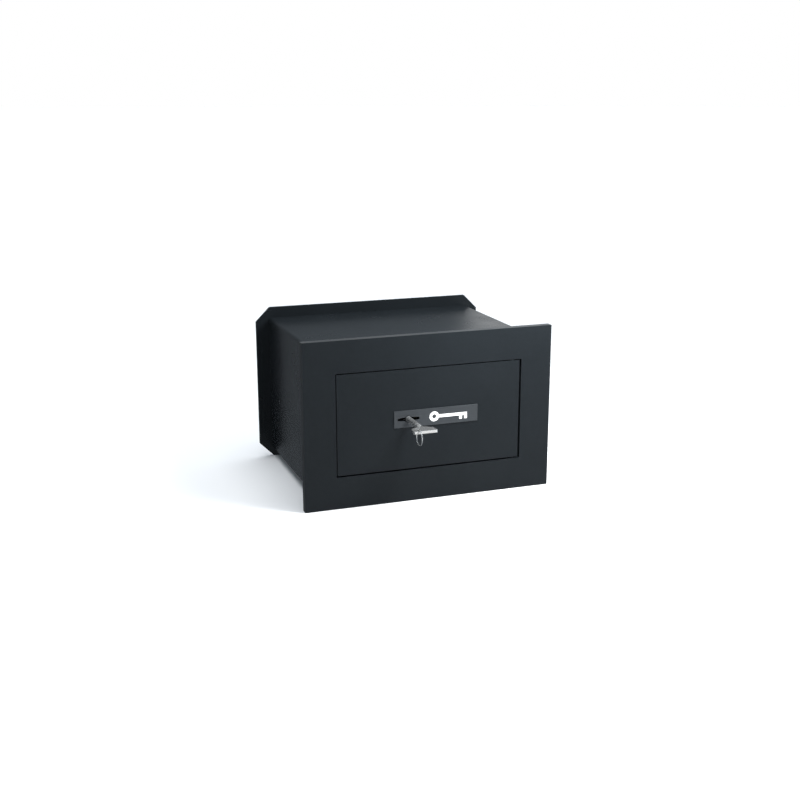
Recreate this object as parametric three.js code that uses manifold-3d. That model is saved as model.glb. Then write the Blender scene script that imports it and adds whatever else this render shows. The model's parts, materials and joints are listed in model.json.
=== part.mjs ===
// A small key-operated wall safe, made to be bricked or screwed into a wall.
// Millimetres. +X to the right seen from the front, +Y into the wall, +Z up.
// The origin is the centre of the rear plate's back face. Sizes below are given in the front
// frame's own system, whose y = 0 is the front face, and the group moves the whole safe forward.
import * as THREE from "three";
import { mergeVertices } from "three/addons/utils/BufferGeometryUtils.js";
import Module from "manifold-3d";

const wasm = await Module();
wasm.setup();

// ---------- driving dimensions ----------
const WIDTH = 320;
const HEIGHT = 208;
const DEPTH = 242;
const PLATE = 10; // front frame and door
const OPENING = { x: 120, z: 64 }; // half sizes of the door opening
const CASING = { x: 142.5, z: 90, sheet: 3, bend: 4 }; // outer half sizes
const REAR_PLATE = { thick: 4, chamfer: 19 };
const GAP = { left: 1, right: 2.6, top: 1.2, bottom: 2 }; // around the closed door
const TOUCH = 0.3; // clearance between neighbours that would otherwise share a cut
const RUN = 0.4; // clearance round the lock's moving pieces

const HINGE = {
  x: 109.4,
  y: PLATE / 2,
  pinR: 2.5,
  pinLength: 22.7,
  reach: 9, // of a pin past the opening's edge
  pocket: 10, // depth of the pocket it turns in
  washerR: 3.9,
};
const KEY = { x: -29, z: 1, shankR: 3.5, bitR: 12.5, bitThick: 2.6 };
const KEY_DEPTH = { shankFront: -37.5, bitsFront: 15.6, bitsBack: 29.8, tip: 30.2 };
const KEYHOLE = { halfLength: 14.2, endR: 1.7, rootHalf: 2.5, hubR: 4.2 };
const BOW = {
  thick: 3.6,
  corner: 2,
  front: { y: -60.5, half: 15.1 },
  shoulder: { y: -47.2, half: 13.8 },
  neck: { y: -41.8, half: 3 },
};
const RING = { x: -36.4, y: -58.4, r: 9.5, wire: 0.7, twist: 0.02, clear: 0.45 };
const RING_HOLE = { y: -52.4, r: 3.6 };
const LABEL = { x: [-47.5, 61.5], z: [-9.3, 12], thick: 1 };
const BOLT = { r: 9, y: 21, z: 35, travel: 18, tip: -116, root: -88 };
const SCREW = { r: 2, headR: 3.4, headHeight: 3.5, socket: 3, socketDepth: 2 };
const ROUND = 24; // segments of a plain cylinder
const TAPPED = [3.2, PLATE + 1]; // depth range of the blind screw holes in frame and door

// ---------- the door's outline and the planes behind it ----------
const DOOR = {
  x: [-OPENING.x + GAP.left, OPENING.x - GAP.right],
  z: [-OPENING.z + GAP.bottom, OPENING.z - GAP.top],
};
const DRILL_PLATE = { x: [-70, 18], y: [PLATE, 13], z: [-45, 47] };
const LOCK = { x: [-66, 14], y: [13, 31], z: [-37, 39], wall: 2, lid: 2 };
const ROTOR = { y: [15.3, 17.8], r: 14.5 };
const TAIL = { x: [-45.5, 8], y: [18.4, 21.4], z: [-16, 27] };
const NECK = { x: [-82, -45], y: [16.4, 21.4], z: [-9, 11] };
const STUMP = { x: -24, z: 22, r: 2.5, top: 30.8 };
const LEVERS = { count: 5, first: 22.4, thick: 1.4, pitch: 1.7, opening: 13.8 };
const POST = { x: 3, z: -27, r: 3 };
const CARRIAGE = { x: [-88, -82], y: [12, 30], z: 48 };
const GUIDE = { x: [-116, -107], y: [PLATE, 32], z: 48 };
const COVER = { x: [-116, 20], top: 39.5, z: 54, sheet: 1.5, flange: 7, flangeFrom: -88 };
const DEAD_BAR = { x: [90, 127], y: [PLATE, 18], z: 40, step: 116 };
const STOP = { x: [-116, -96], z: [56, 76], thick: 4.4, relief: 0.4 };
const KEEPER = { halfX: 15, thick: 4, z: [OPENING.z + 0.5, 84], screwX: 10, screwZ: 78 };

// ---------- solids from three.js geometry ----------
function solid(geometry) {
  geometry.deleteAttribute("normal");
  geometry.deleteAttribute("uv");
  const merged = mergeVertices(geometry, 1e-4);
  return new wasm.Manifold(
    new wasm.Mesh({
      numProp: 3,
      vertProperties: merged.attributes.position.array,
      triVerts: new Uint32Array(merged.index.array),
    }),
  );
}

function geometryOf(manifold) {
  const mesh = manifold.getMesh();
  const indexed = new THREE.BufferGeometry();
  indexed.setAttribute("position", new THREE.BufferAttribute(mesh.vertProperties, 3));
  indexed.setIndex(new THREE.BufferAttribute(mesh.triVerts, 1));
  const flat = indexed.toNonIndexed();
  flat.computeVertexNormals();
  return flat;
}

function box([x0, x1], [y0, y1], [z0, z1]) {
  const g = new THREE.BoxGeometry(x1 - x0, y1 - y0, z1 - z0);
  return solid(g.translate((x0 + x1) / 2, (y0 + y1) / 2, (z0 + z1) / 2));
}

const X = new THREE.Vector3(1, 0, 0);
const Y = new THREE.Vector3(0, 1, 0);
const Z = new THREE.Vector3(0, 0, 1);

// Each of these sweeps an outline along one axis, from low to high.
function sweep(shape, low, high, basis, curveSegments = 8) {
  const g = new THREE.ExtrudeGeometry(shape, {
    depth: high - low,
    bevelEnabled: false,
    curveSegments,
  });
  return solid(g.applyMatrix4(basis));
}
function sweepY(shape, [y0, y1], curveSegments) {
  const basis = new THREE.Matrix4().makeBasis(X, Z, Y.clone().negate()).setPosition(0, y1, 0);
  return sweep(shape, y0, y1, basis, curveSegments);
}
function sweepX(shape, [x0, x1], curveSegments) {
  const basis = new THREE.Matrix4().makeBasis(Y, Z, X).setPosition(x0, 0, 0);
  return sweep(shape, x0, x1, basis, curveSegments);
}
function sweepZ(shape, [z0, z1], curveSegments) {
  const basis = new THREE.Matrix4().setPosition(0, 0, z0);
  return sweep(shape, z0, z1, basis, curveSegments);
}

function disc(a, b, r) {
  return new THREE.Shape().absarc(a, b, r, 0, 2 * Math.PI);
}
const roundY = (x, z, r, y, segments = ROUND) => sweepY(disc(x, z, r), y, segments / 2);
const roundX = (y, z, r, x, segments = ROUND) => sweepX(disc(y, z, r), x, segments / 2);
const roundZ = (x, y, r, z, segments = ROUND) => sweepZ(disc(x, y, r), z, segments / 2);

function polygon(points) {
  return new THREE.Shape(points.map(([a, b]) => new THREE.Vector2(a, b)));
}

function rectangleWithCorners(halfA, halfB, chamfer) {
  const a = halfA - chamfer;
  const b = halfB - chamfer;
  return polygon([
    [-a, -halfB], [a, -halfB], [halfA, -b], [halfA, b],
    [a, halfB], [-a, halfB], [-halfA, b], [-halfA, -b],
  ]);
}

const cut = (body, ...tools) => tools.reduce((left, tool) => left.subtract(tool), body);
const join = (body, ...more) => more.reduce((sum, piece) => sum.add(piece), body);
const screwBore = ([x, z], y) => roundY(x, z, SCREW.r + TOUCH, y, 10);
const mirrorZ = ([low, high]) => [-high, -low];

// A double-bit key's hole: a round hub with a wing to each side that narrows to a round end.
function keyholeShape({ halfLength, endR, rootHalf, hubR }) {
  const end = halfLength - endR;
  const hubAngle = Math.asin(rootHalf / hubR);
  const shape = new THREE.Shape();
  shape.absarc(KEY.x + end, KEY.z, endR, -Math.PI / 2, Math.PI / 2);
  shape.absarc(KEY.x, KEY.z, hubR, hubAngle, Math.PI - hubAngle);
  shape.absarc(KEY.x - end, KEY.z, endR, Math.PI / 2, 1.5 * Math.PI);
  shape.absarc(KEY.x, KEY.z, hubR, Math.PI + hubAngle, 2 * Math.PI - hubAngle);
  shape.closePath();
  return shape;
}
const keyhole = (y) => sweepY(keyholeShape(KEYHOLE), y, 4);

// ---------- finishes ----------
const paint = () => new THREE.MeshStandardMaterial({ color: 0x3a3f45, roughness: 0.55, metalness: 0.1 });
const innerPaint = () => new THREE.MeshStandardMaterial({ color: 0x34383d, roughness: 0.6 });
const steel = () => new THREE.MeshStandardMaterial({ color: 0xa9adb0, roughness: 0.35, metalness: 1 });
const zinc = () => new THREE.MeshStandardMaterial({ color: 0xb9bbb4, roughness: 0.45, metalness: 1 });
const blackOxide = () => new THREE.MeshStandardMaterial({ color: 0x26282a, roughness: 0.5, metalness: 1 });
const brass = () => new THREE.MeshStandardMaterial({ color: 0xb8954a, roughness: 0.4, metalness: 1 });
const nickel = () => new THREE.MeshStandardMaterial({ color: 0xd4d5d2, roughness: 0.22, metalness: 1 });
const labelMetal = () => new THREE.MeshStandardMaterial({ color: 0x8b8c8e, roughness: 0.5, metalness: 0.8 });

const safe = new THREE.Group();
safe.position.y = -DEPTH;

function body(parent = safe) {
  const group = new THREE.Group();
  parent.add(group);
  return group;
}

function piece(parent, name, shape, material) {
  const geometry = shape.isBufferGeometry ? shape : geometryOf(shape);
  const mesh = new THREE.Mesh(geometry, material);
  mesh.name = name;
  parent.add(mesh);
  return mesh;
}

// ---------- socket-head screws ----------
// The head's seat is at the origin, the shank runs along +Z and the head along -Z.
function screwGeometry(length) {
  const head = roundZ(0, 0, SCREW.headR, [-SCREW.headHeight, 0], 16);
  const shank = roundZ(0, 0, SCREW.r, [-0.5, length], 8);
  const hexagon = [...Array(6).keys()].map((i) => {
    const angle = (i * Math.PI) / 3;
    const reach = SCREW.socket / 2 / Math.cos(Math.PI / 6);
    return [reach * Math.cos(angle), reach * Math.sin(angle)];
  });
  const floor = -SCREW.headHeight + SCREW.socketDepth;
  const socket = sweepZ(polygon(hexagon), [-SCREW.headHeight - 1, floor]);
  return geometryOf(cut(join(head, shank), socket));
}

const TOWARDS = {
  front: [Math.PI / 2, 0],
  right: [0, Math.PI / 2],
  left: [0, -Math.PI / 2],
};

function screw(parent, name, [x, y, z], towards, length, material) {
  const mesh = piece(parent, name, screwGeometry(length), material);
  mesh.position.set(x, y, z);
  mesh.rotation.set(TOWARDS[towards][0], TOWARDS[towards][1], 0);
}

// ---------- the fixed body: frame, casing, rear plate, hinge keepers, door stops ----------
const fixed = body();
const SIDES = [["upper", 1], ["lower", -1]];
const onSide = (side, range) => (side > 0 ? range : mirrorZ(range));

function frontFrame() {
  const plate = box([-WIDTH / 2, WIDTH / 2], [0, PLATE], [-HEIGHT / 2, HEIGHT / 2]);
  const opening = box([-OPENING.x, OPENING.x], [-1, PLATE + 1], [-OPENING.z, OPENING.z]);
  const grooveDepth = 0.5;
  const groove = cut(
    box(
      [-CASING.x - TOUCH, CASING.x + TOUCH],
      [PLATE - grooveDepth, PLATE + 1],
      [-CASING.z - TOUCH, CASING.z + TOUCH],
    ),
    box(
      [-CASING.x + CASING.sheet + TOUCH, CASING.x - CASING.sheet - TOUCH],
      [0, PLATE + 2],
      [-CASING.z + CASING.sheet + TOUCH, CASING.z - CASING.sheet - TOUCH],
    ),
  );
  const pocketHalf = HINGE.pinR + TOUCH;
  const pockets = SIDES.flatMap(([, side]) => {
    const z = onSide(side, [OPENING.z - 1, OPENING.z + HINGE.pocket]);
    return [
      box([HINGE.x - pocketHalf, HINGE.x + pocketHalf], [HINGE.y, PLATE + 1], z),
      roundZ(HINGE.x, HINGE.y, pocketHalf, z),
    ];
  });
  const screwHoles = SIDES.flatMap(([, side]) =>
    [-1, 1].map((s) =>
      screwBore([HINGE.x + s * KEEPER.screwX, side * KEEPER.screwZ], TAPPED),
    ),
  );
  return cut(plate, opening, groove, ...pockets, ...screwHoles);
}
piece(fixed, "front_frame", frontFrame(), paint());

// The wrap is one sheet folded over the left side, the top and the right side.
function casingWrapShape() {
  const { x, z, sheet, bend } = CASING;
  const inner = bend - sheet;
  const shape = new THREE.Shape();
  shape.moveTo(-x, -z);
  shape.absarc(-x + bend, z - bend, bend, Math.PI, Math.PI / 2, true);
  shape.absarc(x - bend, z - bend, bend, Math.PI / 2, 0, true);
  shape.lineTo(x, -z);
  shape.lineTo(x - sheet, -z);
  shape.absarc(x - bend, z - bend, inner, 0, Math.PI / 2);
  shape.absarc(-x + bend, z - bend, inner, Math.PI / 2, Math.PI);
  shape.lineTo(-x + sheet, -z);
  shape.closePath();
  return shape;
}
const casingY = [PLATE - 0.5, DEPTH - REAR_PLATE.thick];
const innerX = CASING.x - CASING.sheet;
const innerZ = CASING.z - CASING.sheet;
piece(fixed, "casing_wrap", sweepY(casingWrapShape(), casingY, 4), paint());
piece(fixed, "casing_floor", box([-innerX, innerX], casingY, [-CASING.z, -innerZ]), paint());

const rearShape = rectangleWithCorners(WIDTH / 2, HEIGHT / 2, REAR_PLATE.chamfer);
piece(fixed, "rear_plate", sweepY(rearShape, [DEPTH - REAR_PLATE.thick, DEPTH]), paint());

// A keeper closes the open back of each hinge pocket with a tongue and is screwed to the frame.
function hingeKeeper(side) {
  const tongueHalf = HINGE.pinR;
  const tongueFront = HINGE.y + HINGE.pinR + 0.5;
  const backY = PLATE + KEEPER.thick;
  const plate = box(
    [HINGE.x - KEEPER.halfX, HINGE.x + KEEPER.halfX],
    [PLATE, backY],
    onSide(side, KEEPER.z),
  );
  const tongue = box(
    [HINGE.x - tongueHalf, HINGE.x + tongueHalf],
    [tongueFront, PLATE + 1],
    onSide(side, [KEEPER.z[0], OPENING.z + HINGE.pocket - TOUCH]),
  );
  const holes = [-1, 1].map((s) =>
    screwBore([HINGE.x + s * KEEPER.screwX, side * KEEPER.screwZ], [PLATE - 1, backY + 1]),
  );
  return cut(join(plate, tongue), ...holes);
}

// A stop lug is welded behind the frame and reaches over the door's back with a small relief.
function doorStop(side) {
  const back = PLATE + STOP.thick;
  const lug = box(STOP.x, [PLATE, back], onSide(side, STOP.z));
  const relief = onSide(side, [STOP.z[0] - 1, OPENING.z + TOUCH]);
  return cut(lug, box([STOP.x[0] - 1, STOP.x[1] + 1], [PLATE - 1, PLATE + STOP.relief], relief));
}

for (const [label, side] of SIDES) {
  piece(fixed, `hinge_keeper_${label}`, hingeKeeper(side), zinc());
  for (const [end, s] of [["left", -1], ["right", 1]]) {
    const at = [HINGE.x + s * KEEPER.screwX, PLATE + KEEPER.thick, side * KEEPER.screwZ];
    screw(fixed, `hinge_keeper_screw_${label}_${end}`, at, "front", 10, blackOxide());
  }
  piece(fixed, `door_stop_${label}`, doorStop(side), innerPaint());
}

// The door's weight rests on a washer round the lower hinge pin.
const washerZ = [-OPENING.z, DOOR.z[0] - 0.1];
const washer = cut(
  roundZ(HINGE.x, HINGE.y, HINGE.washerR, washerZ, 24),
  roundZ(HINGE.x, HINGE.y, HINGE.pinR + TOUCH, [washerZ[0] - 1, washerZ[1] + 1], 24),
);
piece(fixed, "hinge_washer", washer, blackOxide());

// ---------- the door and what is fixed to it ----------
const door = body();
const LOCK_SCREWS = [[-59, 32], [-59, -30], [7, 32]];
const COVER_SCREWS = [
  ["upper_left", -80, 57.6], ["upper_right", 12, 57.6],
  ["lower_left", -80, -57.6], ["lower_right", 12, -57.6],
];
const GUIDE_SCREWS = [["upper", -110.8, 12], ["lower", -110.8, -12]];
const DEAD_BAR_SCREWS = [["upper", 100, 28], ["lower", 100, -28]];

const pinZ = (side) => {
  const edge = side > 0 ? OPENING.z : -OPENING.z;
  const end = edge + side * HINGE.reach;
  return side > 0 ? [end - HINGE.pinLength, end] : [end, end + HINGE.pinLength];
};

function doorPlate() {
  const tapped = [
    ...LOCK_SCREWS,
    ...COVER_SCREWS.map(([, x, z]) => [x, z]),
    ...GUIDE_SCREWS.map(([, x, z]) => [x, z]),
    ...DEAD_BAR_SCREWS.map(([, x, z]) => [x, z]),
  ].map((at) => screwBore(at, TAPPED));
  const pinBores = SIDES.map(([, side]) => {
    const [low, high] = pinZ(side);
    return roundZ(HINGE.x, HINGE.y, HINGE.pinR + TOUCH, [low - TOUCH, high + TOUCH], 24);
  });
  return cut(box(DOOR.x, [0, PLATE], DOOR.z), keyhole([-1, PLATE + 1]), ...tapped, ...pinBores);
}
piece(door, "door_plate", doorPlate(), paint());

const label = cut(
  box(LABEL.x, [-LABEL.thick, 0], LABEL.z),
  keyhole([-LABEL.thick - 1, 1]),
);
piece(door, "label_plate", label, labelMetal());

for (const [label, side] of SIDES) {
  piece(door, `hinge_pin_${label}`, roundZ(HINGE.x, HINGE.y, HINGE.pinR, pinZ(side), 24), steel());
}

const drillPlate = cut(
  box(DRILL_PLATE.x, DRILL_PLATE.y, DRILL_PLATE.z),
  keyhole([PLATE - 1, DRILL_PLATE.y[1] + 1]),
  ...LOCK_SCREWS.map((at) => screwBore(at, [PLATE - 1, DRILL_PLATE.y[1] + 1])),
);
piece(door, "drill_plate", drillPlate, steel());

// The dead bar reaches behind the frame on the hinge side, so that cutting the hinge pins
// doesn't free the door.
const deadBarShape = polygon([
  [DEAD_BAR.x[0], DEAD_BAR.y[0]],
  [DEAD_BAR.step, DEAD_BAR.y[0]],
  [DEAD_BAR.step, DEAD_BAR.y[0] + 0.5],
  [DEAD_BAR.x[1], DEAD_BAR.y[0] + 0.5],
  [DEAD_BAR.x[1], DEAD_BAR.y[1]],
  [DEAD_BAR.x[0], DEAD_BAR.y[1]],
]);
const deadBar = cut(
  sweepZ(deadBarShape, [-DEAD_BAR.z, DEAD_BAR.z]),
  ...DEAD_BAR_SCREWS.map(([, x, z]) => screwBore([x, z], [PLATE - 1, DEAD_BAR.y[1] + 1])),
);
piece(door, "dead_bar", deadBar, zinc());
for (const [label, x, z] of DEAD_BAR_SCREWS) {
  screw(door, `dead_bar_screw_${label}`, [x, DEAD_BAR.y[1], z], "front", 14, blackOxide());
}

// ---------- the lever lock ----------
function lockCase() {
  const inner = (range) => [range[0] + LOCK.wall, range[1] - LOCK.wall];
  const neckSlot = box(
    [LOCK.x[0] - 1, LOCK.x[0] + LOCK.wall + 1],
    [NECK.y[0] - RUN, NECK.y[1] + RUN],
    [NECK.z[0] - RUN, NECK.z[1] + RUN],
  );
  return cut(
    box(LOCK.x, LOCK.y, LOCK.z),
    box(inner(LOCK.x), [LOCK.y[0] + LOCK.wall, LOCK.y[1] + 1], inner(LOCK.z)),
    neckSlot,
    keyhole([LOCK.y[0] - 1, LOCK.y[0] + LOCK.wall + 1]),
    ...LOCK_SCREWS.map((at) => screwBore(at, [LOCK.y[0] - 1, LOCK.y[0] + LOCK.wall + 1])),
  );
}
piece(door, "lock_case", lockCase(), zinc());

const lidY = [LOCK.y[1], LOCK.y[1] + LOCK.lid];
const lockLid = cut(
  box(LOCK.x, lidY, LOCK.z),
  ...LOCK_SCREWS.map((at) => screwBore(at, [lidY[0] - 1, lidY[1] + 1])),
);
piece(door, "lock_lid", lockLid, zinc());
LOCK_SCREWS.forEach(([x, z], i) => {
  screw(door, `lock_screw_${i + 1}`, [x, lidY[1], z], "front", lidY[1] - 4, blackOxide());
});

const postY = [LOCK.y[0] + LOCK.wall, LOCK.y[1]];
piece(door, "lever_post", roundY(POST.x, POST.z, POST.r, postY, 20), steel());

function leverShape() {
  const shape = polygon([
    [9, -33], [9, -20], [-8, 4], [-8, 32], [-50, 32], [-50, -14], [-34, -20], [-6, -33],
  ]);
  const belly = new THREE.Path().absarc(KEY.x, KEY.z, LEVERS.opening, 0, 2 * Math.PI);
  const pivot = new THREE.Path().absarc(POST.x, POST.z, POST.r + TOUCH, 0, 2 * Math.PI);
  const gateR = STUMP.r + RUN;
  const gate = new THREE.Path();
  gate.absarc(STUMP.x, STUMP.z, gateR, -Math.PI / 2, Math.PI / 2);
  gate.absarc(STUMP.x - BOLT.travel, STUMP.z, gateR, Math.PI / 2, 1.5 * Math.PI);
  gate.closePath();
  shape.holes.push(belly, pivot, gate);
  return shape;
}
for (let i = 0; i < LEVERS.count; i++) {
  const y = LEVERS.first + i * LEVERS.pitch;
  piece(door, `lever_${i + 1}`, sweepY(leverShape(), [y, y + LEVERS.thick], 7), brass());
}

// One springy comb, a finger to each lever, bears on the levers' upper edges.
function leverSprings() {
  const strip = { x: [-22, -12], z: [35.4, 36.2] };
  const backY = [LEVERS.first, LEVERS.first + (LEVERS.count - 1) * LEVERS.pitch + LEVERS.thick];
  const finger = polygon([[-20, 35.5], [-20, 36.1], [-46, 32.9], [-46, 32.3]]);
  const fingers = [...Array(LEVERS.count).keys()].map((i) => {
    const y = LEVERS.first + i * LEVERS.pitch + 0.1;
    return sweepY(finger, [y, y + LEVERS.thick - 0.2]);
  });
  return join(box(strip.x, backY, strip.z), ...fingers);
}
piece(door, "lever_springs", leverSprings(), steel());

// ---------- the boltwork's guide and its folded cover ----------
const guide = cut(
  box(GUIDE.x, GUIDE.y, [-GUIDE.z, GUIDE.z]),
  ...SIDES.map(([, side]) =>
    roundX(BOLT.y, side * BOLT.z, BOLT.r + TOUCH, [GUIDE.x[0] - 1, GUIDE.x[1] + 1]),
  ),
  ...GUIDE_SCREWS.map(([, x, z]) => screwBore([x, z], [PLATE - 1, GUIDE.y[1] + 1])),
);
piece(door, "bolt_guide", guide, zinc());
for (const [label, x, z] of GUIDE_SCREWS) {
  screw(door, `bolt_guide_screw_${label}`, [x, GUIDE.y[1], z], "front", 28, blackOxide());
}

function boltworkCover() {
  const { x, top, z, sheet, flange, flangeFrom } = COVER;
  const shell = cut(
    box(x, [PLATE, top], [-z, z]),
    box([x[0] + sheet, x[1] - sheet], [PLATE - 1, top - sheet], [-z + sheet, z - sheet]),
    box([x[0] - 1, x[0] + sheet + 1], [PLATE - 1, GUIDE.y[1] + TOUCH], [-z + sheet, z - sheet]),
  );
  const flanges = SIDES.map(([, side]) =>
    box([flangeFrom, x[1]], [PLATE, PLATE + sheet], onSide(side, [z - sheet, z + flange])),
  );
  const holes = COVER_SCREWS.map(([, sx, sz]) => screwBore([sx, sz], [PLATE - 1, PLATE + 3]));
  return cut(join(shell, ...flanges), ...holes);
}
piece(door, "boltwork_cover", boltworkCover(), innerPaint());
for (const [label, x, z] of COVER_SCREWS) {
  screw(door, `cover_screw_${label}`, [x, PLATE + COVER.sheet, z], "front", 7.5, blackOxide());
}

// ---------- the sliding bolts: two round bolts, their carriage and the lock's own bolt ----------
const bolts = body(door);
const boltScrewBore = (side, x) => roundX(BOLT.y, side * BOLT.z, SCREW.r + TOUCH, x, 16);
const lockBoltAt = { y: (NECK.y[0] + NECK.y[1]) / 2, z: KEY.z };
const sink = { r: SCREW.headR + TOUCH, depth: SCREW.headHeight + TOUCH };

const carriage = cut(
  box(CARRIAGE.x, CARRIAGE.y, [-CARRIAGE.z, CARRIAGE.z]),
  ...SIDES.map(([, side]) => boltScrewBore(side, [CARRIAGE.x[0] - 1, CARRIAGE.x[1] + 1])),
  roundX(lockBoltAt.y, lockBoltAt.z, SCREW.r + TOUCH, [CARRIAGE.x[0] - 1, CARRIAGE.x[1] + 1], 16),
  roundX(lockBoltAt.y, lockBoltAt.z, sink.r, [CARRIAGE.x[0] - 1, CARRIAGE.x[0] + sink.depth], 20),
);
piece(bolts, "bolt_carriage", carriage, zinc());

for (const [label, side] of SIDES) {
  const bolt = cut(
    roundX(BOLT.y, side * BOLT.z, BOLT.r, [BOLT.tip, BOLT.root]),
    boltScrewBore(side, [BOLT.root - 13, BOLT.root + 1]),
  );
  piece(bolts, `bolt_${label}`, bolt, steel());
  const at = [CARRIAGE.x[1], BOLT.y, side * BOLT.z];
  screw(bolts, `bolt_screw_${label}`, at, "left", 18, blackOxide());
}

// The lock bolt's tail clears the turning key at both ends of its travel and carries the stump
// that runs in the levers' gates.
function lockBolt() {
  const clearing = new THREE.Shape();
  clearing.absarc(KEY.x + BOLT.travel, KEY.z, LEVERS.opening, -Math.PI / 2, Math.PI / 2);
  clearing.absarc(KEY.x, KEY.z, LEVERS.opening, Math.PI / 2, 1.5 * Math.PI);
  clearing.closePath();
  const tail = cut(
    box(TAIL.x, TAIL.y, TAIL.z),
    sweepY(clearing, [TAIL.y[0] - 1, TAIL.y[1] + 1], 7),
  );
  const neck = box(NECK.x, NECK.y, NECK.z);
  const stump = roundY(STUMP.x, STUMP.z, STUMP.r, [TAIL.y[1] - 1, STUMP.top], 16);
  const tapped = roundX(lockBoltAt.y, lockBoltAt.z, SCREW.r + TOUCH, [NECK.x[0] - 1, -70], 16);
  return cut(join(tail, neck, stump), tapped);
}
piece(bolts, "lock_bolt", lockBolt(), brass());
const sunkHead = [CARRIAGE.x[0] + sink.depth, lockBoltAt.y, lockBoltAt.z];
screw(bolts, "lock_bolt_screw", sunkHead, "right", 12, blackOxide());

// ---------- the lock rotor, which the key's bits turn ----------
const rotorBody = body(door);
const rotor = cut(
  roundY(KEY.x, KEY.z, ROTOR.r, ROTOR.y),
  roundY(KEY.x, KEY.z, KEY.shankR + TOUCH, [ROTOR.y[0] - 1, ROTOR.y[1] + 1], 20),
  box(
    [KEY.x - KEY.bitR - RUN, KEY.x + KEY.bitR + RUN],
    [ROTOR.y[0] - 1, ROTOR.y[1] + 1],
    [KEY.z - KEY.bitThick / 2 - RUN, KEY.z + KEY.bitThick / 2 + RUN],
  ),
);
piece(rotorBody, "lock_rotor", rotor, brass());

// ---------- the double-bit key, pushed home and level ----------
const keyBody = body(rotorBody);

// A closed outline through the given corners, each rounded by the radius.
function roundedOutline(corners, radius) {
  const points = corners.map(([a, b]) => new THREE.Vector2(a, b));
  const shape = new THREE.Shape();
  points.forEach((corner, i) => {
    const before = points[(i + points.length - 1) % points.length];
    const after = points[(i + 1) % points.length];
    const start = corner.clone().add(before.clone().sub(corner).setLength(radius));
    const end = corner.clone().add(after.clone().sub(corner).setLength(radius));
    if (i === 0) shape.moveTo(start.x, start.y);
    else shape.lineTo(start.x, start.y);
    shape.quadraticCurveTo(corner.x, corner.y, end.x, end.y);
  });
  shape.closePath();
  return shape;
}

function bitShape() {
  const cuts = [0, 3.1, 0, 1.9, 3.9, 1.1, 2.7, 0]; // depth of each step, front to tip
  const pitch = (KEY_DEPTH.bitsBack - KEY_DEPTH.bitsFront) / cuts.length;
  const side = cuts.flatMap((depth, i) => [
    [KEY.x + KEY.bitR - depth, KEY_DEPTH.bitsFront + i * pitch],
    [KEY.x + KEY.bitR - depth, KEY_DEPTH.bitsFront + (i + 1) * pitch],
  ]);
  const mirrored = side.map(([x, y]) => [2 * KEY.x - x, y]).reverse();
  return polygon([...side, ...mirrored]);
}

// The flat bow has square shoulders and a narrow neck that runs into the round shank.
function bowShape() {
  const { front, shoulder, neck, corner } = BOW;
  const right = [
    [front.half, front.y],
    [shoulder.half, shoulder.y],
    [neck.half, neck.y],
    [neck.half, KEY_DEPTH.shankFront + corner],
  ];
  const left = right.map(([half, y]) => [-half, y]).reverse();
  return roundedOutline([...right, ...left].map(([half, y]) => [KEY.x + half, y]), corner);
}

function key() {
  const bow = sweepZ(bowShape(), [KEY.z - BOW.thick / 2, KEY.z + BOW.thick / 2], 4);
  const shank = roundY(KEY.x, KEY.z, KEY.shankR, [KEY_DEPTH.shankFront, KEY_DEPTH.tip], 20);
  const bits = sweepZ(bitShape(), [KEY.z - KEY.bitThick / 2, KEY.z + KEY.bitThick / 2]);
  const ringHole = roundZ(RING.x, RING_HOLE.y, RING_HOLE.r, [KEY.z - 5, KEY.z + 5], 20);
  return cut(join(bow, shank, bits), ringHole);
}
piece(keyBody, "key", key(), nickel());

// The ring hangs through the bow, resting on the narrow bridge between its hole and its edge.
const ringBody = body(keyBody);
const ringShape = new THREE.TorusGeometry(RING.r, RING.wire, 8, 28);
const ringMesh = piece(ringBody, "key_ring", ringShape, nickel());
const bridgeTop = KEY.z + BOW.thick / 2;
ringMesh.position.set(RING.x, RING.y, bridgeTop + RING.clear + RING.wire - RING.r);
ringMesh.rotation.set(0, Math.PI / 2, RING.twist, "ZYX");

export default safe;
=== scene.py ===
"""Looks for a small wall safe: satin dark enamel, brushed label strip, bright steel key.

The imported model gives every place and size. Metres, +X right, +Y into the wall, +Z up.
"""
import json
import math

import bmesh
import bpy
from mathutils import Matrix, Vector


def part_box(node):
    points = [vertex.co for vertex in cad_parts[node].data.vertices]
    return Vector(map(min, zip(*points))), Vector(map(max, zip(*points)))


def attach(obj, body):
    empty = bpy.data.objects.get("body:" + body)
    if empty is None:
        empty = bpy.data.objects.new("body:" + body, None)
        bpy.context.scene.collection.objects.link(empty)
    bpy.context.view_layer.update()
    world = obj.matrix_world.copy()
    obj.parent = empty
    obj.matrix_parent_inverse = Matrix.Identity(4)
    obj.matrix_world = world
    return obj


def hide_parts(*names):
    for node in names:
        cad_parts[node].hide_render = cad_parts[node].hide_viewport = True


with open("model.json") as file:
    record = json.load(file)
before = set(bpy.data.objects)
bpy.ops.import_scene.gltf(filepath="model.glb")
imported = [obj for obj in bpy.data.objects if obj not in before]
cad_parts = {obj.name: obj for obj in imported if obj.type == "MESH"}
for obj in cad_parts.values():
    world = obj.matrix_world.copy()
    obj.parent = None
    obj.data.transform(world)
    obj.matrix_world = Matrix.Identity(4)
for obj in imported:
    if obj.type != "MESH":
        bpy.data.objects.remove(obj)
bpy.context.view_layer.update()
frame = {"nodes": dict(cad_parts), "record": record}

MM = 0.001
TURN = 2 * math.pi
BODY_OF = {n: b for b, names in frame["record"]["behaviour"]["bodies"].items() for n in names}
SLOT_OF = {s["node"]: s["material_slot"] for s in frame["record"]["subparts"]}

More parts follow.
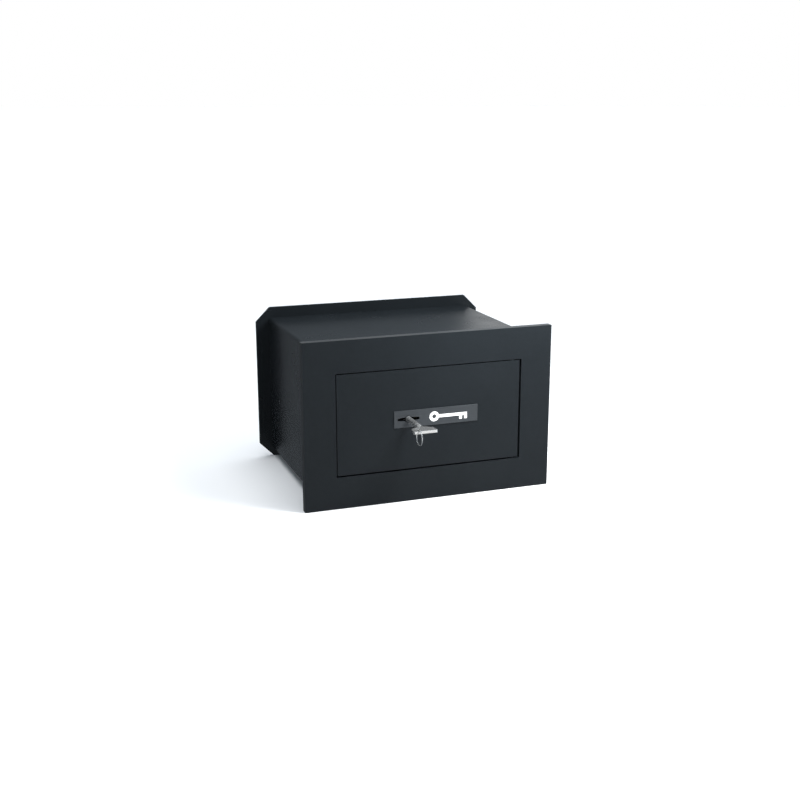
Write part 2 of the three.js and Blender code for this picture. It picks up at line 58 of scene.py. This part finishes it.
# ---------------------------------------------------------------- camera
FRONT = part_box("front_frame")[0].y
CAMERA_FROM_FRONT = Vector((-0.4952, -1.2894, 0.3898))  # from the middle of the frame's face
CAMERA_AZIMUTH, CAMERA_ELEVATION, CAMERA_ROLL = -19.46, 14.91, -0.12  # degrees
LENS_MM, SENSOR_MM = 52.97, 36.0


def make_camera():
    data = bpy.data.cameras.new("camera")
    data.lens, data.sensor_width = LENS_MM, SENSOR_MM
    cam = bpy.data.objects.new("camera", data)
    bpy.context.collection.objects.link(cam)
    turn = Matrix.Rotation(math.radians(CAMERA_AZIMUTH), 4, "Z")
    tip = Matrix.Rotation(math.radians(90 - CAMERA_ELEVATION), 4, "X")
    roll = Matrix.Rotation(math.radians(CAMERA_ROLL), 4, "Z")
    place = Matrix.Translation(CAMERA_FROM_FRONT + Vector((0, FRONT, 0)))
    cam.matrix_world = place @ turn @ tip @ roll
    bpy.context.scene.camera = cam


# ---------------------------------------------------------------- node helpers
class Nodes:
    """A material's node tree with short calls for the nodes used here."""

    def __init__(self, name):
        self.material = bpy.data.materials.new(name)
        self.material.use_nodes = True
        self.tree = self.material.node_tree
        self.tree.nodes.clear()
        self.out = self.tree.nodes.new("ShaderNodeOutputMaterial")
        self.shader = self.tree.nodes.new("ShaderNodeBsdfPrincipled")
        self.link(self.shader.outputs[0], self.out.inputs[0])
        self.coord = self.tree.nodes.new("ShaderNodeTexCoord").outputs["Object"]

    def link(self, a, b):
        self.tree.links.new(a, b)

    def set(self, **values):
        for key, value in values.items():
            self.shader.inputs[key.replace("_", " ")].default_value = value

    def noise(self, scale, detail=3.0, roughness=0.5, stretch=(1, 1, 1)):
        mapping = self.tree.nodes.new("ShaderNodeMapping")
        mapping.inputs["Scale"].default_value = [scale * s for s in stretch]
        self.link(self.coord, mapping.inputs["Vector"])
        tex = self.tree.nodes.new("ShaderNodeTexNoise")
        tex.inputs["Scale"].default_value = 1.0
        tex.inputs["Detail"].default_value = detail
        tex.inputs["Roughness"].default_value = roughness
        self.link(mapping.outputs[0], tex.inputs["Vector"])
        return tex.outputs["Fac"]

    def spread(self, value, low, high, to_low=0.0, to_high=1.0):
        """The value's stretch from low to high, spread over another range."""
        node = self.tree.nodes.new("ShaderNodeMapRange")
        node.inputs["From Min"].default_value = low
        node.inputs["From Max"].default_value = high
        node.inputs["To Min"].default_value = to_low
        node.inputs["To Max"].default_value = to_high
        self.link(value, node.inputs["Value"])
        return node.outputs["Result"]

    def mix(self, factor, a, b):
        """A colour between a and b. Each of the three is a constant or another node's output."""
        node = self.tree.nodes.new("ShaderNodeMix")
        node.data_type = "RGBA"
        for socket, value in ((node.inputs[0], factor), (node.inputs[6], a), (node.inputs[7], b)):
            if isinstance(value, (tuple, list)):
                socket.default_value = (*value, 1.0)
            elif isinstance(value, (int, float)):
                socket.default_value = value
            else:
                self.link(value, socket)
        return node.outputs[2]

    def bump(self, height, strength, distance):
        node = self.tree.nodes.new("ShaderNodeBump")
        node.inputs["Strength"].default_value = strength
        node.inputs["Distance"].default_value = distance
        self.link(height, node.inputs["Height"])
        return node.outputs["Normal"]

    def color(self, socket):
        self.link(socket, self.shader.inputs["Base Color"])

    def roughness(self, socket):
        self.link(socket, self.shader.inputs["Roughness"])

    def normal(self, socket):
        self.link(socket, self.shader.inputs["Normal"])


def scaled(color, factor):
    return [c * factor for c in color]


# ---------------------------------------------------------------- materials
def enamel(name, base, rough, peel, speckle=0.08, fineness=300, streak=1.0):
    """Satin enamel, faintly clouded. Its speckle and orange peel are one fine noise, drawn out along X
    by a streak below 1."""
    n = Nodes(name)
    n.set(Metallic=0.0, Specular_IOR_Level=0.5)
    cloud = n.spread(n.noise(14, detail=3), 0.35, 0.65)
    clouded = n.mix(cloud, scaled(base, 0.95), scaled(base, 1.05))
    fine = n.noise(fineness, detail=2, stretch=(streak, 1, 1))
    grain = n.spread(fine, 0.35, 0.65, 0.0, speckle)
    n.color(n.mix(grain, clouded, scaled(base, 2.2)))
    uneven = n.noise(24, detail=4, roughness=0.55)
    n.roughness(n.spread(uneven, 0.3, 0.7, rough - 0.03, rough + 0.03))
    n.normal(n.bump(fine, peel, distance=0.1 * MM))
    return n.material


def brushed(name, base, rough, metallic=1.0, contrast=0.12, depth=0.12):
    """Metal brushed or drawn along X."""
    n = Nodes(name)
    n.set(Metallic=metallic)
    lines = n.noise(1400, detail=4, roughness=0.6, stretch=(0.02, 1, 1))
    tone = n.mix(n.spread(lines, 0.3, 0.7), scaled(base, 1 - contrast), scaled(base, 1 + contrast))
    clouds = n.spread(n.noise(60, detail=3), 0.4, 0.7, 0.0, 0.25)
    n.color(n.mix(clouds, tone, scaled(base, 0.8)))
    n.roughness(n.spread(lines, 0.3, 0.7, rough - 0.07, rough + 0.09))
    n.normal(n.bump(lines, depth, distance=0.06 * MM))
    return n.material


def plated(name, base, rough, metallic=1.0, marks_depth=0.72, grain=0.08, uneven=0.1):
    """Plated or oxidised metal with soft handling marks, which darken it down to marks_depth."""
    n = Nodes(name)
    n.set(Metallic=metallic)
    marks = n.spread(n.noise(180, detail=6, roughness=0.62), 0.42, 0.72, 0.0, 0.5)
    n.color(n.mix(marks, base, scaled(base, marks_depth)))
    n.roughness(n.spread(n.noise(420, detail=5), 0.3, 0.7, rough - uneven / 2, rough + uneven))
    n.normal(n.bump(n.noise(900, detail=3), grain, distance=0.05 * MM))
    return n.material


def printed(name, base, rough):
    """A layer of screen-printed ink: even, with a faint mesh grain."""
    n = Nodes(name)
    n.set(Metallic=0.0, Specular_IOR_Level=0.3)
    n.color(n.mix(n.spread(n.noise(1800, detail=2), 0.35, 0.65), scaled(base, 0.97), base))
    n.roughness(n.spread(n.noise(700, detail=3), 0.3, 0.7, rough - 0.05, rough + 0.05))
    return n.material


FRONT_COLOR = (0.0095, 0.0120, 0.0142)
CASING_COLOR = (0.0092, 0.0115, 0.0134)
INNER_COLOR = (0.030, 0.033, 0.036)
MATERIALS = {
    "front_paint": enamel("front_enamel", FRONT_COLOR, rough=0.37, peel=0.05),
    "casing_paint": enamel(
        "casing_enamel", CASING_COLOR, rough=0.25, peel=0.04, speckle=0.05, fineness=150, streak=0.2,
    ),
    "inner_paint": enamel("inner_enamel", INNER_COLOR, rough=0.58, peel=0.4),
    "label_metal": brushed("label_brushed", (0.064, 0.070, 0.076), rough=0.45, metallic=0.4),
    "brass": plated("brass", (0.60, 0.43, 0.18), rough=0.3),
    "bright_steel": brushed("turned_steel", (0.55, 0.56, 0.57), rough=0.27, contrast=0.05, depth=0.03),
    "zinc_steel": plated("zinc_plate", (0.50, 0.52, 0.50), rough=0.36),
    "black_oxide": plated("black_oxide", (0.045, 0.045, 0.048), rough=0.42),
    "nickel": plated(
        "nickel", (0.64, 0.64, 0.63), rough=0.25, metallic=0.88, marks_depth=0.95, grain=0.01, uneven=0.02,
    ),
}
INK = printed("white_ink", (0.88, 0.88, 0.87), rough=0.5)


# ---------------------------------------------------------------- mesh helpers
SAME_SPOT = 0.004 * MM  # vertices closer than this are one
FLAT_ANGLE = math.radians(1)  # faces that meet at less than this are one flat face
CORNER_ANGLE = math.radians(25)  # edges sharper than this are eased


def cleaned(node):
    """A node's solid as a bmesh with shared vertices and its flat faces in one piece."""
    bm = bmesh.new()
    bm.from_mesh(frame["nodes"][node].data)
    bmesh.ops.remove_doubles(bm, verts=bm.verts, dist=SAME_SPOT)
    bmesh.ops.dissolve_limit(bm, angle_limit=FLAT_ANGLE, verts=bm.verts, edges=bm.edges)
    return bm


def add_piece(bm, name, body, material, smooth_angle=35):
    """The mesh as an object on its body, smooth but for edges sharper than the angle."""
    bmesh.ops.recalc_face_normals(bm, faces=bm.faces)
    for face in bm.faces:
        face.smooth = True
    for edge in bm.edges:
        if len(edge.link_faces) == 2:
            edge.smooth = edge.calc_face_angle() < math.radians(smooth_angle)
    mesh = bpy.data.meshes.new(name)
    bm.to_mesh(mesh)
    bm.free()
    mesh.materials.append(material)
    obj = bpy.data.objects.new(name, mesh)
    bpy.context.collection.objects.link(obj)
    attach(obj, body)
    weighted = obj.modifiers.new("even_normals", "WEIGHTED_NORMAL")
    weighted.keep_sharp = True
    return obj


def stand_in(bm, node, suffix, smooth_angle=35):
    """The mesh as a piece that stands for the CAD node, with its body and slot."""
    slot = SLOT_OF[node]
    obj = add_piece(bm, f"{node}_{suffix}", BODY_OF[node], MATERIALS[slot], smooth_angle)
    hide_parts(node)
    return obj


def ease_edges(bm, width, segments=2):
    """Rounds the mesh's sharp edges."""
    sharp = [e for e in bm.edges if len(e.link_faces) == 2 and e.calc_face_angle() > CORNER_ANGLE]
    bmesh.ops.bevel(
        bm, geom=sharp, offset=width, offset_type="OFFSET", segments=segments,
        profile=0.5, affect="EDGES", clamp_overlap=True,
    )


def eased(node, width):
    """The CAD node's own shape with its edges rounded."""
    bm = cleaned(node)
    ease_edges(bm, width)
    return stand_in(bm, node, "eased")


def lathe(bm, profile, basis, segments=48):
    """Turns (along, radius) pairs about the basis' own Z. A radius may be a function of the angle."""
    rings = []
    for along, radius in profile:
        angles = [TURN * i / segments for i in range(segments)]
        radii = [radius(a) if callable(radius) else radius for a in angles]
        if max(radii) == 0:
            rings.append([bm.verts.new(basis @ Vector((0, 0, along)))])
            continue
        spots = [Vector((r * math.cos(a), r * math.sin(a), along)) for r, a in zip(radii, angles)]
        rings.append([bm.verts.new(basis @ spot) for spot in spots])
    for low, high in zip(rings, rings[1:]):
        for i in range(segments):
            j = (i + 1) % segments
            corners = [low[i % len(low)], low[j % len(low)], high[j % len(high)], high[i % len(high)]]
            bm.faces.new(list(dict.fromkeys(corners)))


AXES = {
    "+x": Matrix.Rotation(math.radians(90), 3, "Y"),
    "-x": Matrix.Rotation(math.radians(-90), 3, "Y"),
    "+y": Matrix.Rotation(math.radians(-90), 3, "X"),
    "-y": Matrix.Rotation(math.radians(90), 3, "X"),
    "+z": Matrix.Identity(3),
}


def facing(direction, at):
    """A basis whose Z points along a named direction, with its origin at the given place."""
    return Matrix.Translation(at) @ AXES[direction].to_4x4()


def arc(centre, radius, start, end, steps):
    """Points on an arc, angles in degrees."""
    spots = [math.radians(start + (end - start) * i / steps) for i in range(steps + 1)]
    return [(centre[0] + radius * math.cos(a), centre[1] + radius * math.sin(a)) for a in spots]


def slab(bm, outlines, levels, place):
    """A plate between two levels: the first outline is its edge and the others are holes."""
    ends = []
    for level in levels:
        loops = [[bm.verts.new(place(a, b, level)) for a, b in outline] for outline in outlines]
        rims = [bm.edges.new((loop[i - 1], loop[i])) for loop in loops for i in range(len(loop))]
        bmesh.ops.triangle_fill(bm, use_beauty=True, edges=rims)
        ends.append(loops)
    for low, high in zip(*ends):
        for i in range(len(low)):
            bm.faces.new((low[i - 1], low[i], high[i], high[i - 1]))
    bmesh.ops.recalc_face_normals(bm, faces=bm.faces)
    bmesh.ops.dissolve_limit(bm, angle_limit=FLAT_ANGLE, verts=bm.verts, edges=bm.edges)


def across_y(a, b, level):
    """A slab's place where its levels lie along Y."""
    return Vector((a, level, b))


def across_z(a, b, level):
    """A slab's place where its levels lie along Z."""
    return Vector((a, b, level))


def wire(bm, path, radius, square_to, sides=12):
    """A round wire with closed ends, along a path that stays roughly square to the given vector."""
    rings = []
    for i, point in enumerate(path):
        along = (path[min(i + 1, len(path) - 1)] - path[max(i - 1, 0)]).normalized()
        out = along.cross(square_to).normalized()
        up = out.cross(along)
        angles = [TURN * k / sides for k in range(sides)]
        spots = [point + radius * (math.cos(a) * out + math.sin(a) * up) for a in angles]
        rings.append([bm.verts.new(spot) for spot in spots])
    for first, second in zip(rings, rings[1:]):
        for k in range(sides):
            bm.faces.new((first[k - 1], first[k], second[k], second[k - 1]))
    bm.faces.new(rings[0])
    bm.faces.new(rings[-1])


def joined(shapes):
    """One closed solid from bmeshes that overlap."""
    parts = []
    for shape in shapes:
        bmesh.ops.recalc_face_normals(shape, faces=shape.faces)
        mesh = bpy.data.meshes.new("part")
        shape.to_mesh(mesh)
        shape.free()
        part = bpy.data.objects.new("part", mesh)
        bpy.context.collection.objects.link(part)
        parts.append(part)
    for other in parts[1:]:
        union = parts[0].modifiers.new("union", "BOOLEAN")
        union.operation, union.solver, union.object = "UNION", "EXACT", other
    whole = bmesh.new()
    whole.from_object(parts[0], bpy.context.evaluated_depsgraph_get())
    for part in parts:
        bpy.data.objects.remove(part)
    bmesh.ops.remove_doubles(whole, verts=whole.verts, dist=0.001 * MM)
    return whole


# ---------------------------------------------------------------- casing and plates
EASED = {
    "front_frame": 1.2 * MM,
    "door_plate": 0.5 * MM,
    "casing_floor": 0.3 * MM,
    "rear_plate": 0.5 * MM,
    "label_plate": 0.2 * MM,
    "boltwork_cover": 0.4 * MM,
    "bolt_guide": 0.5 * MM,
    "bolt_carriage": 0.5 * MM,
    "dead_bar": 0.6 * MM,
    "drill_plate": 0.3 * MM,
    "lock_case": 0.3 * MM,
    "lock_lid": 0.3 * MM,
    "lock_bolt": 0.3 * MM,
    "lock_rotor": 0.2 * MM,
    "lever_post": 0.3 * MM,
    "hinge_washer": 0.1 * MM,
}
for side in ("upper", "lower"):
    EASED[f"hinge_keeper_{side}"] = 0.5 * MM
    EASED[f"door_stop_{side}"] = 0.5 * MM
for number in range(1, 6):
    EASED[f"lever_{number}"] = 0.12 * MM

BEND = 4 * MM  # outer radius of the casing's folds


def folded_casing():
    """One sheet folded over the left side, the top and the right side, with round bends."""
    low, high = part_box("casing_wrap")
    floor_low, floor_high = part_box("casing_floor")
    sheet = floor_high.z - floor_low.z
    inner = BEND - sheet
    left, right, top = low.x + BEND, high.x - BEND, high.z - BEND
    outline = [(low.x, low.z), *arc((left, top), BEND, 180, 90, 10), *arc((right, top), BEND, 90, 0, 10)]
    outline += [(high.x, low.z), (high.x - sheet, low.z)]
    outline += [*arc((right, top), inner, 0, 90, 8), *arc((left, top), inner, 90, 180, 8)]
    outline += [(low.x + sheet, low.z)]
    bm = bmesh.new()
    slab(bm, [outline], (low.y, high.y), across_y)
    return stand_in(bm, "casing_wrap", "folded")


# ---------------------------------------------------------------- turned pieces
def round_bolt(node):
    """A turned bolt with a chamfered nose and the bore of its fixing screw in the root."""
    low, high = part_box(node)
    radius, length = (high.z - low.z) / 2, high.x - low.x
    nose, rim, bore, bore_depth = 1.8 * MM, 0.5 * MM, 2.3 * MM, 13 * MM
    profile = [
        (bore_depth, 0), (bore_depth, bore), (0, bore),
        (0, radius - rim), (rim, radius), (length - nose, radius),
        (length - nose * 0.3, radius - nose * 0.55), (length, radius - nose), (length, 0),
    ]
    centre = (low + high) / 2
    bm = bmesh.new()
    lathe(bm, profile, facing("-x", (high.x, centre.y, centre.z)), 64)
    return stand_in(bm, node, "turned")


def pin(node):
    """A turned hinge pin with chamfered ends."""
    low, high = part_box(node)
    radius, length, chamfer = (high.x - low.x) / 2, high.z - low.z, 0.5 * MM
    profile = [
        (0, 0), (0, radius - chamfer), (chamfer, radius),
        (length - chamfer, radius), (length, radius - chamfer), (length, 0),
    ]
    bm = bmesh.new()
    centre = (low + high) / 2
    lathe(bm, profile, facing("+z", (centre.x, centre.y, low.z)), 40)
    return stand_in(bm, node, "turned")


SCREW_SHANK = 2 * MM  # radius
HEAD_HEIGHT = 3.5 * MM
SOCKET, SOCKET_DEPTH = 3 * MM, 2 * MM  # across the flats, and deep
KNURL_DEPTH, KNURL_COUNT = 0.12 * MM, 24


def hexagon(angle):
    """Distance from the socket's middle to its wall, in a direction."""
    from_flat = (angle + TURN / 12) % (TURN / 6) - TURN / 12
    return SOCKET / 2 / math.cos(from_flat)


def socket_screw(node, towards):
    """A socket-head screw with a knurled, chamfered head. Its shank points towards the given side."""
    low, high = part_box(node)
    middle = (low + high) / 2
    axis = "xyz".index(towards[1])
    start = low if towards[0] == "+" else high
    middle[axis] = start[axis]
    length = high[axis] - low[axis]
    across = (axis + 1) % 3
    head = (high[across] - low[across]) / 2
    soften = 0.35 * MM

    def knurled(angle):
        return head - KNURL_DEPTH * (0.5 - 0.5 * math.cos(KNURL_COUNT * angle))

    profile = [
        (SOCKET_DEPTH, 0), (SOCKET_DEPTH, hexagon), (0, hexagon), (0, head - 2 * soften),
        (soften, head - soften / 2), (soften * 1.6, knurled), (HEAD_HEIGHT - soften, knurled),
        (HEAD_HEIGHT, head - soften), (HEAD_HEIGHT, SCREW_SHANK), (length - soften, SCREW_SHANK),
        (length, SCREW_SHANK - soften), (length, 0),
    ]
    bm = bmesh.new()
    lathe(bm, profile, facing(towards, middle))
    return stand_in(bm, node, "turned")


def screw_direction(node):
    """Which way a screw's shank points: most of them forward, the bolts' along the carriage."""
    return {"bolt_screw_upper": "-x", "bolt_screw_lower": "-x", "lock_bolt_screw": "+x"}.get(node, "-y")


# ---------------------------------------------------------------- key, ring, printed mark
RING_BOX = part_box("key_ring")
RING_AT = (RING_BOX[0] + RING_BOX[1]) / 2
RING_WIRE = 0.7 * MM  # radius of the space that the wire fills in the CAD
KEY_LOW, KEY_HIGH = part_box("key")
KEY_X = (KEY_LOW.x + KEY_HIGH.x) / 2
KEY_Z = (KEY_LOW.z + KEY_HIGH.z) / 2
KEY_SHANK = 3.5 * MM  # radius
SHANK_FRONT = FRONT - 37.5 * MM


def both_sides(right):
    """A closed outline from its right half, mirrored about the key's middle."""
    return [(KEY_X + a, b) for a, b in right] + [(KEY_X - a, b) for a, b in reversed(right)]


def key_bow():
    """The flat bow: a wide front, sides that draw in to two shoulders, a narrow neck, a ring hole."""
    thick, corner, taper = 3.6 * MM, 2.2 * MM, 4
    front_half, shoulder_half, neck_half = 15.1 * MM, 13.8 * MM, 2.9 * MM
    front, shoulder, neck = KEY_LOW.y, FRONT - 47.2 * MM, FRONT - 41.8 * MM
    hole, hole_at = 3.6 * MM, FRONT - 52.4 * MM
    right = [
        *arc((front_half - corner, front + corner), corner, -90, taper, 8),
        *arc((shoulder_half - corner, shoulder - corner), corner, taper, 62, 6),
        (neck_half + 1.5 * MM, neck),
        (neck_half, neck + 1.2 * MM),
        (neck_half, SHANK_FRONT + 2 * MM),
    ]
    ring_hole = arc((RING_AT.x, hole_at), hole, 0, 360, 40)[:-1]
    bow = bmesh.new()
    slab(bow, [both_sides(right), ring_hole], (KEY_Z - thick / 2, KEY_Z + thick / 2), across_z)
    ease_edges(bow, 0.4 * MM, segments=3)
    return bow


def groove(start, end, depth):
    """The stretch of the shank's profile that forms a shallow groove with sloping walls."""
    slope, bottom = 0.2 * MM, KEY_SHANK - depth
    return [(start, KEY_SHANK), (start + slope, bottom), (end, bottom), (end + slope, KEY_SHANK)]


def key_shank():
    """The turned shank, with one groove behind the bow and one just before the door."""
    length = KEY_HIGH.y - SHANK_FRONT
    chamfer, soften = 0.8 * MM, 0.25 * MM
    door_groove = FRONT - 4 * MM - SHANK_FRONT, FRONT - 1.6 * MM - SHANK_FRONT
    profile = [
        (0, 0), (0, KEY_SHANK - chamfer), (soften, KEY_SHANK - soften), (chamfer, KEY_SHANK),
        *groove(4 * MM, 5 * MM, 0.3 * MM),
        *groove(*door_groove, 0.25 * MM),
        (length - chamfer, KEY_SHANK), (length, KEY_SHANK - chamfer), (length, 0),
    ]
    shank = bmesh.new()
    lathe(shank, profile, facing("+y", (KEY_X, SHANK_FRONT, KEY_Z)), 56)
    return shank


def key_bits():
    """The two stepped bits, mirror images of each other."""
    reach, thick = 12.5 * MM, 2.6 * MM
    front, back = FRONT + 15.6 * MM, FRONT + 29.8 * MM
    cuts = [cut * MM for cut in (0, 3.1, 0, 1.9, 3.9, 1.1, 2.7, 0)]
    pitch = (back - front) / len(cuts)
    edge = []
    for i, cut in enumerate(cuts):
        edge += [(reach - cut, front + i * pitch), (reach - cut, front + (i + 1) * pitch)]
    bits = bmesh.new()
    slab(bits, [both_sides(edge)], (KEY_Z - thick / 2, KEY_Z + thick / 2), across_z)
    ease_edges(bits, 0.15 * MM, segments=1)
    return bits


def double_bit_key():
    """The key in one piece."""
    return stand_in(joined([key_bow(), key_shank(), key_bits()]), "key", "cut", smooth_angle=28)


def split_ring():
    """Two turns of wire side by side, with one crossing and two cut ends, where the CAD has a torus."""
    low, high = RING_BOX
    clearance, steps = 0.01 * MM, 150
    radius = (high.z - low.z) / 2 - RING_WIRE
    wire_radius = RING_WIRE / 2 - clearance
    half_gap = wire_radius + clearance
    start, crossing = math.radians(-70), math.radians(26)
    whole_path = 2 * TURN - crossing * 1.15  # it ends just before it would meet its own crossing
    path = []
    for i in range(steps + 1):
        turned = whole_path * i / steps
        ease = min(max((turned - (TURN - crossing)) / crossing, 0), 1)
        shift = half_gap * (2 * ease * ease * (3 - 2 * ease) - 1)
        angle = start + turned
        path.append(RING_AT + Vector((shift, radius * math.cos(angle), radius * math.sin(angle))))
    bm = bmesh.new()
    wire(bm, path, wire_radius, square_to=Vector((1, 0, 0)))
    return stand_in(bm, "key_ring", "split", smooth_angle=50)


def key_pictogram():
    """A plain key drawn in white ink on the strip, right of the keyhole."""
    low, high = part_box("label_plate")
    width, height = high.x - low.x, high.z - low.z
    bow, hole, stem = height * 0.29, height * 0.12, height * 0.09
    x, z = low.x + width * 0.475, (low.z + high.z) / 2
    tip = x + width * 0.395
    tooth, gap, reach = width * 0.034, width * 0.026, height * 0.29
    opening = math.degrees(math.asin(stem / bow))
    outline = arc((x, z), bow, opening, 360 - opening, 40)
    cursor = tip - 2 * tooth - gap
    for _ in range(2):
        outline += [(cursor, z - stem), (cursor, z - reach), (cursor + tooth, z - reach)]
        cursor += tooth
        if cursor < tip - tooth / 2:
            outline.append((cursor, z - stem))
            cursor += gap
    outline += [(tip, z + stem)]
    ring = arc((x, z), hole, 0, 360, 28)[:-1]
    ink_front, ink_back = low.y - 0.06 * MM, low.y + 0.02 * MM
    bm = bmesh.new()
    slab(bm, [outline, ring], (ink_front, ink_back), across_y)
    return add_piece(bm, "label_pictogram", BODY_OF["label_plate"], INK)


# ---------------------------------------------------------------- stage and light
FLOOR = min(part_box("front_frame")[0].z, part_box("rear_plate")[0].z)
FLOOR_RADIUS = 30
FRAME_CORNER = Vector((0.15, FRONT, 0.09))  # just inside the front's upper right corner


def area_light(name, at, size, watts, look_at, in_reflections=True):
    """A rectangular lamp that faces a point and is never seen itself."""
    data = bpy.data.lights.new(name, "AREA")
    data.shape, data.size, data.size_y = "RECTANGLE", *size
    data.energy = watts
    lamp = bpy.data.objects.new(name, data)
    lamp.location = at
    lamp.rotation_euler = (look_at - Vector(at)).to_track_quat("-Z", "Y").to_euler()
    lamp.visible_camera = False
    lamp.visible_glossy = in_reflections
    bpy.context.collection.objects.link(lamp)
    return lamp


def keep_light_on(lamp, pieces):
    """Lets a lamp reach only the given pieces."""
    lit = bpy.data.collections.new(f"{lamp.name}_reaches")
    for piece in pieces:
        lit.objects.link(piece)
    lamp.light_linking.receiver_collection = lit


def overhead_light(strength, spread_degrees):
    """Even soft light from straight above, which keeps the floor pale all the way back."""
    data = bpy.data.lights.new("overhead", "SUN")
    data.energy, data.angle = strength, math.radians(spread_degrees)
    lamp = bpy.data.objects.new("overhead", data)
    lamp.visible_glossy = False
    bpy.context.collection.objects.link(lamp)


def light_the_studio(key, ring, front_frame):
    """A lamp above, one before and one behind the safe, and two that each reach only a few pieces."""
    overhead_light(strength=1.9, spread_degrees=50)
    area_light(
        "key_light", at=(0.13, FRONT - 0.168, 0.33), size=(0.2, 0.2), watts=3.9,
        look_at=FRAME_CORNER, in_reflections=False,
    )
    area_light("rear_light", at=(1.02, 1.15, 0.4), size=(0.72, 0.4), watts=0.65, look_at=FRAME_CORNER)
    card = area_light(
        "card", at=(0.05, FRONT - 0.26, -0.035), size=(0.34, 0.12), watts=0.14, look_at=RING_AT,
    )
    keep_light_on(card, [key, ring])
    rim = area_light("rim_light", at=(0.4, 0.9, 0.4), size=(1.8, 0.5), watts=1.0, look_at=FRAME_CORNER)
    keep_light_on(rim, [front_frame])


def make_floor():
    """A wide round sheet of pale paper under the safe."""
    bm = bmesh.new()
    bmesh.ops.create_circle(bm, cap_ends=True, segments=96, radius=FLOOR_RADIUS)
    mesh = bpy.data.meshes.new("floor")
    bm.to_mesh(mesh)
    bm.free()
    n = Nodes("floor_paper")
    n.set(Roughness=0.9, Specular_IOR_Level=0.1)
    n.color(n.mix(n.noise(3, detail=2), (0.87, 0.87, 0.87), (0.88, 0.88, 0.88)))
    mesh.materials.append(n.material)
    floor = bpy.data.objects.new("floor", mesh)
    floor.location = (0, 0, FLOOR)
    floor.visible_glossy = False
    bpy.context.collection.objects.link(floor)


DARK_SIDE, BRIGHT_SIDE, CEILING = 0.14, 1.0, 0.8
SIDE_RAMP = (0.38, 0.95)  # the part of +X over which the studio goes from dark to bright
CEILING_RAMP = (0.5, 0.85)  # the part of +Z over which its soft ceiling light comes in
STUDIO_TINT = (0.88, 0.98, 1.08, 1)
WHITE = (1, 1, 1, 1)


def make_world():
    """A cool studio, darker on the left, brighter on the right and lit from its ceiling. The camera
    itself sees plain white behind the safe."""
    world = bpy.data.worlds.new("studio")
    bpy.context.scene.world = world
    world.use_nodes = True
    tree = world.node_tree
    back = tree.nodes["Background"]
    coord = tree.nodes.new("ShaderNodeTexCoord")
    split = tree.nodes.new("ShaderNodeSeparateXYZ")
    tree.links.new(coord.outputs["Generated"], split.inputs[0])

    def ramp(axis, start, end, low, high):
        node = tree.nodes.new("ShaderNodeMapRange")
        node.interpolation_type = "SMOOTHSTEP"
        for name, value in zip(("From Min", "From Max", "To Min", "To Max"), (start, end, low, high)):
            node.inputs[name].default_value = value
        tree.links.new(split.outputs[axis], node.inputs["Value"])
        return node.outputs[0]

    total = tree.nodes.new("ShaderNodeMath")
    tree.links.new(ramp("X", *SIDE_RAMP, DARK_SIDE, BRIGHT_SIDE), total.inputs[0])
    tree.links.new(ramp("Z", *CEILING_RAMP, 0, CEILING), total.inputs[1])
    path = tree.nodes.new("ShaderNodeLightPath")
    choose = tree.nodes.new("ShaderNodeMix")
    choose.inputs["B"].default_value = 1.0
    tree.links.new(path.outputs["Is Camera Ray"], choose.inputs["Factor"])
    tree.links.new(total.outputs[0], choose.inputs["A"])
    tree.links.new(choose.outputs[0], back.inputs["Strength"])
    tint = tree.nodes.new("ShaderNodeMix")
    tint.data_type = "RGBA"
    tint.inputs["A"].default_value = STUDIO_TINT
    tint.inputs["B"].default_value = WHITE
    tree.links.new(path.outputs["Is Camera Ray"], tint.inputs["Factor"])
    tree.links.new(tint.outputs["Result"], back.inputs["Color"])


# ---------------------------------------------------------------- making it
for node, obj in frame["nodes"].items():
    obj.data.materials.clear()
    obj.data.materials.append(MATERIALS[SLOT_OF[node]])
eased_pieces = {node: eased(node, width) for node, width in EASED.items()}
folded_casing()
for side in ("upper", "lower"):
    round_bolt(f"bolt_{side}")
    pin(f"hinge_pin_{side}")
for node in frame["nodes"]:
    if "screw" in node:
        socket_screw(node, screw_direction(node))
key = double_bit_key()
ring = split_ring()
key_pictogram()

make_floor()
make_world()
light_the_studio(key, ring, eased_pieces["front_frame"])
make_camera()
bpy.context.scene.view_settings.view_transform = "Standard"
